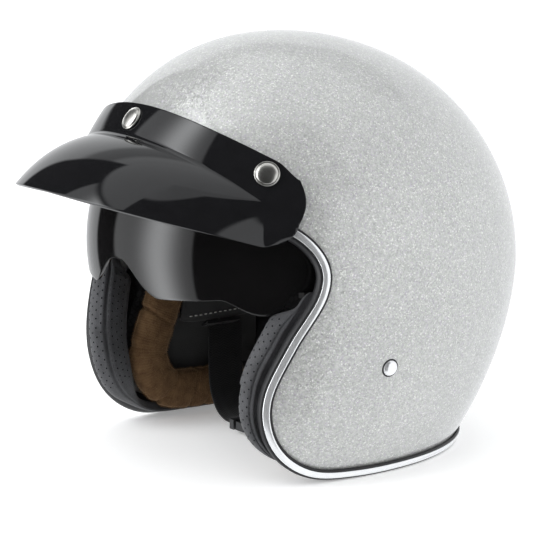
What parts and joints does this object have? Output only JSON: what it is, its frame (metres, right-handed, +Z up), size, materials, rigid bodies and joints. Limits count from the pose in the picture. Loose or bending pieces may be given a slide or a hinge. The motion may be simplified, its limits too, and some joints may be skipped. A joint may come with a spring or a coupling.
{
  "type": "open face motorcycle helmet",
  "caption": "Open face motorcycle helmet with a press-stud peak, a drop-down smoked sun visor, removable cheek padding and a chin strap with a ratchet buckle.",
  "frame": {"origin": "bottom centre of the bounding box, on the surface that the rolled rim rests on", "axes": "+Z up; +Y towards the back of the head, so the wearer faces -Y; +X towards the wearer's left"},
  "size_m": [0.25, 0.3216, 0.2552],
  "materials": {
    "shell_paint": "silver metal-flake lacquer under gloss clear coat",
    "peak_gloss": "gloss black moulding",
    "smoke_lens": "dark smoke tint, gloss",
    "trim_rubber": "satin black",
    "trim_chrome": "bright metallised strip",
    "rivet_chrome": "bright",
    "nickel": "satin nickel plate",
    "black_plastic": "fine texture",
    "eps_foam": "black moulded foam",
    "liner_fabric": "black brushed knit",
    "pad_leatherette": "charcoal, perforated, fine grain",
    "plush": "brown suede-like ribbed plush",
    "webbing": "black woven"
  },
  "bodies": {
    "helmet": {"outer_shell": "shell_paint", "edge_trim_rubber": "trim_rubber", "edge_trim_chrome": "trim_chrome", "eps_liner": "eps_foam", "crown_liner": "liner_fabric", "cheek_pad_base_left": "eps_foam", "cheek_pad_base_right": "eps_foam", "cheek_pad_cover_left": "pad_leatherette", "cheek_pad_cover_right": "pad_leatherette", "cheek_roll_left": "plush", "cheek_roll_right": "plush", "ear_panel_left": "liner_fabric", "ear_panel_right": "liner_fabric", "pad_snap_upper_left": "nickel", "pad_snap_lower_left": "nickel", "pad_snap_upper_right": "nickel", "pad_snap_lower_right": "nickel", "neck_pad": "pad_leatherette", "neck_roll": "plush", "shell_stud_center": "nickel", "shell_stud_left": "nickel", "shell_stud_right": "nickel", "visor_pivot_bracket_left": "black_plastic", "visor_pivot_bracket_right": "black_plastic", "visor_pivot_screw_left": "nickel", "visor_pivot_screw_right": "nickel", "strap_rivet_left": "rivet_chrome", "strap_rivet_right": "rivet_chrome", "strap_anchor_left": "webbing", "strap_anchor_right": "webbing"},
    "peak": {"peak": "peak_gloss", "peak_cap_center": "nickel", "peak_cap_left": "nickel", "peak_cap_right": "nickel", "peak_socket_center": "nickel", "peak_socket_left": "nickel", "peak_socket_right": "nickel"},
    "sun_visor": {"sun_visor_lens": "smoke_lens", "visor_hub_left": "black_plastic", "visor_hub_right": "black_plastic"},
    "chin_strap": {"strap_left": "webbing", "strap_right": "webbing", "chin_pad": "pad_leatherette", "buckle_body": "nickel", "ratchet_tongue": "black_plastic", "buckle_pin": "nickel", "strap_keeper": "trim_rubber", "strap_slider": "black_plastic"},
    "buckle_lever": {"buckle_lever": "black_plastic"}
  },
  "joints": [
    {"name": "peak_slide", "type": "slide", "parent": "helmet", "child": "peak", "axis": [0, -0.8211, 0.5708], "range_m": [0, 0.06]},
    {"name": "sun_visor_hinge", "type": "hinge", "parent": "helmet", "child": "sun_visor", "pos_m": [0, -0.0013, 0.127], "axis": [-1, 0, 0], "range_deg": [0, 38]},
    {"name": "chin_strap_hinge", "type": "hinge", "parent": "helmet", "child": "chin_strap", "pos_m": [0, 0.0172, 0.06], "axis": [-1, 0, 0], "range_deg": [-30, 50]},
    {"name": "buckle_lever_hinge", "type": "hinge", "parent": "chin_strap", "child": "buckle_lever", "pos_m": [0.06175, 0.00785, 0.02343], "axis": [0.1424, -0.9838, 0.1089], "range_deg": [0, 40], "stiffness_Nm_per_rad": 0.05, "springref_deg": -17.19}
  ]
}
